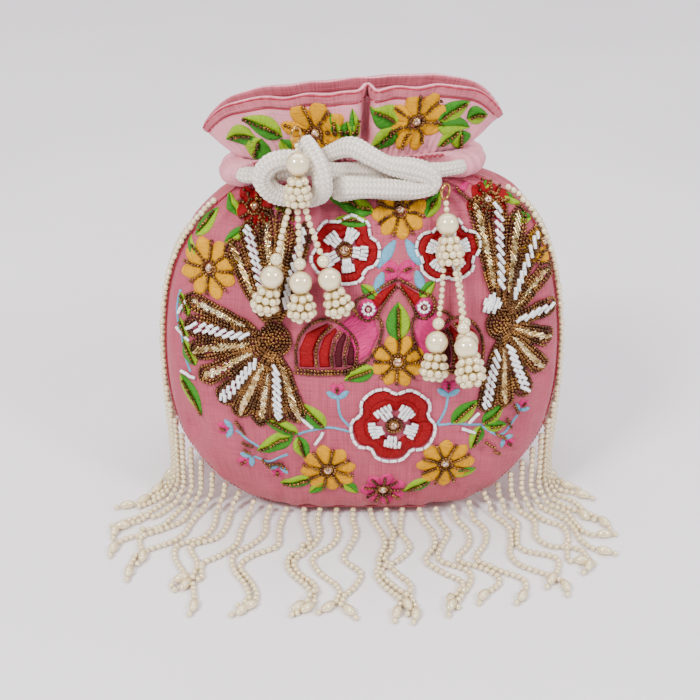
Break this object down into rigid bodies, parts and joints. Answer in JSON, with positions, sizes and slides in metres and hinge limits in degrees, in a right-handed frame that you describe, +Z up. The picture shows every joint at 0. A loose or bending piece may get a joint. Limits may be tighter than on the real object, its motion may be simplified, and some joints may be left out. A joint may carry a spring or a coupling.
{
  "type": "potli bag",
  "caption": "Soft drawstring pouch with a pleated ruffle, an embroidered and beaded front, a tied knitted cord with pearl tassels, and a pearl-strand fringe.",
  "frame": {"origin": "middle of the flat base, on the surface the bag stands on", "axes": "+Z up, the embroidered front faces -Y, +X to the viewer's right"},
  "size_m": [0.2618, 0.1913, 0.2188],
  "materials": {
    "silk": "slubbed raw silk",
    "lining": "plain woven",
    "cotton": "knitted cotton cord",
    "pearl": "pearlescent coated bead",
    "gold": "polished gilt"
  },
  "bodies": {
    "bag": {"back_panel": "silk", "casing": "silk", "drawstring": "cotton", "front_panel": "silk", "lining": "lining", "ruffle_back": "silk", "ruffle_front": "silk", "side_band": "silk", "fringe_01": "pearl", "fringe_02": "pearl", "fringe_03": "pearl", "fringe_04": "pearl", "fringe_05": "pearl", "fringe_06": "pearl", "fringe_07": "pearl", "fringe_08": "pearl", "fringe_09": "pearl", "fringe_10": "pearl", "fringe_11": "pearl", "fringe_12": "pearl"},
    "ring_left": {"tassel_left_ring": "gold"},
    "tassel_left": {"tassel_left_bead_1": "pearl", "tassel_left_pearl": "pearl", "tassel_left_cluster": "pearl"},
    "pendant_left_1": {"tassel_left_strand_1": "pearl", "tassel_left_medium_1": "pearl", "tassel_left_ball_1": "pearl", "tassel_left_cup_1": "pearl"},
    "pendant_left_2": {"tassel_left_strand_2": "pearl", "tassel_left_medium_2": "pearl", "tassel_left_ball_2": "pearl", "tassel_left_cup_2": "pearl"},
    "pendant_left_3": {"tassel_left_strand_3": "pearl", "tassel_left_medium_3": "pearl", "tassel_left_ball_3": "pearl", "tassel_left_cup_3": "pearl"},
    "ring_right": {"tassel_right_ring": "gold"},
    "tassel_right": {"tassel_right_bead_1": "pearl", "tassel_right_pearl": "pearl", "tassel_right_cluster": "pearl"},
    "pendant_right_1": {"tassel_right_strand_1": "pearl", "tassel_right_medium_1": "pearl", "tassel_right_ball_1": "pearl", "tassel_right_cup_1": "pearl"},
    "pendant_right_2": {"tassel_right_strand_2": "pearl", "tassel_right_medium_2": "pearl", "tassel_right_ball_2": "pearl", "tassel_right_cup_2": "pearl"},
    "pendant_right_3": {"tassel_right_strand_3": "pearl", "tassel_right_medium_3": "pearl", "tassel_right_ball_3": "pearl", "tassel_right_cup_3": "pearl"}
  },
  "joints": [
    {"name": "left_tassel_lift", "type": "hinge", "parent": "bag", "child": "ring_left", "pos_m": [-0.0305, -0.0272, 0.2054], "axis": [-1, 0, 0], "range_deg": [0, 75]},
    {"name": "left_tassel_sway", "type": "hinge", "parent": "ring_left", "child": "tassel_left", "pos_m": [-0.0305, -0.0272, 0.1986], "axis": [0, 1, 0], "range_deg": [-5, 5]},
    {"name": "left_pendant_1_lift", "type": "hinge", "parent": "tassel_left", "child": "pendant_left_1", "pos_m": [-0.03366, -0.03981, 0.17141], "axis": [-1, 0, 0], "range_deg": [0, 40]},
    {"name": "left_pendant_2_lift", "type": "hinge", "parent": "tassel_left", "child": "pendant_left_2", "pos_m": [-0.03006, -0.03981, 0.17141], "axis": [-1, 0, 0], "range_deg": [0, 40]},
    {"name": "left_pendant_3_lift", "type": "hinge", "parent": "tassel_left", "child": "pendant_left_3", "pos_m": [-0.02646, -0.03981, 0.17141], "axis": [-1, 0, 0], "range_deg": [0, 40]},
    {"name": "right_tassel_lift", "type": "hinge", "parent": "bag", "child": "ring_right", "pos_m": [0.0385, -0.0256, 0.1769], "axis": [-1, 0, 0], "range_deg": [0, 75]},
    {"name": "right_tassel_sway", "type": "hinge", "parent": "ring_right", "child": "tassel_right", "pos_m": [0.0385, -0.0256, 0.1701], "axis": [0, 1, 0], "range_deg": [-5, 5]},
    {"name": "right_pendant_1_lift", "type": "hinge", "parent": "tassel_right", "child": "pendant_right_1", "pos_m": [0.03795, -0.04029, 0.14175], "axis": [-1, 0, 0], "range_deg": [0, 40]},
    {"name": "right_pendant_2_lift", "type": "hinge", "parent": "tassel_right", "child": "pendant_right_2", "pos_m": [0.04455, -0.03909, 0.14175], "axis": [-1, 0, 0], "range_deg": [0, 25]},
    {"name": "right_pendant_3_lift", "type": "hinge", "parent": "tassel_right", "child": "pendant_right_3", "pos_m": [0.04295, -0.04469, 0.14175], "axis": [-1, 0, 0], "range_deg": [0, 25]}
  ],
  "couplings": [
    {"joint": "right_pendant_2_lift", "follows": "right_pendant_3_lift", "ratio": 1}
  ]
}
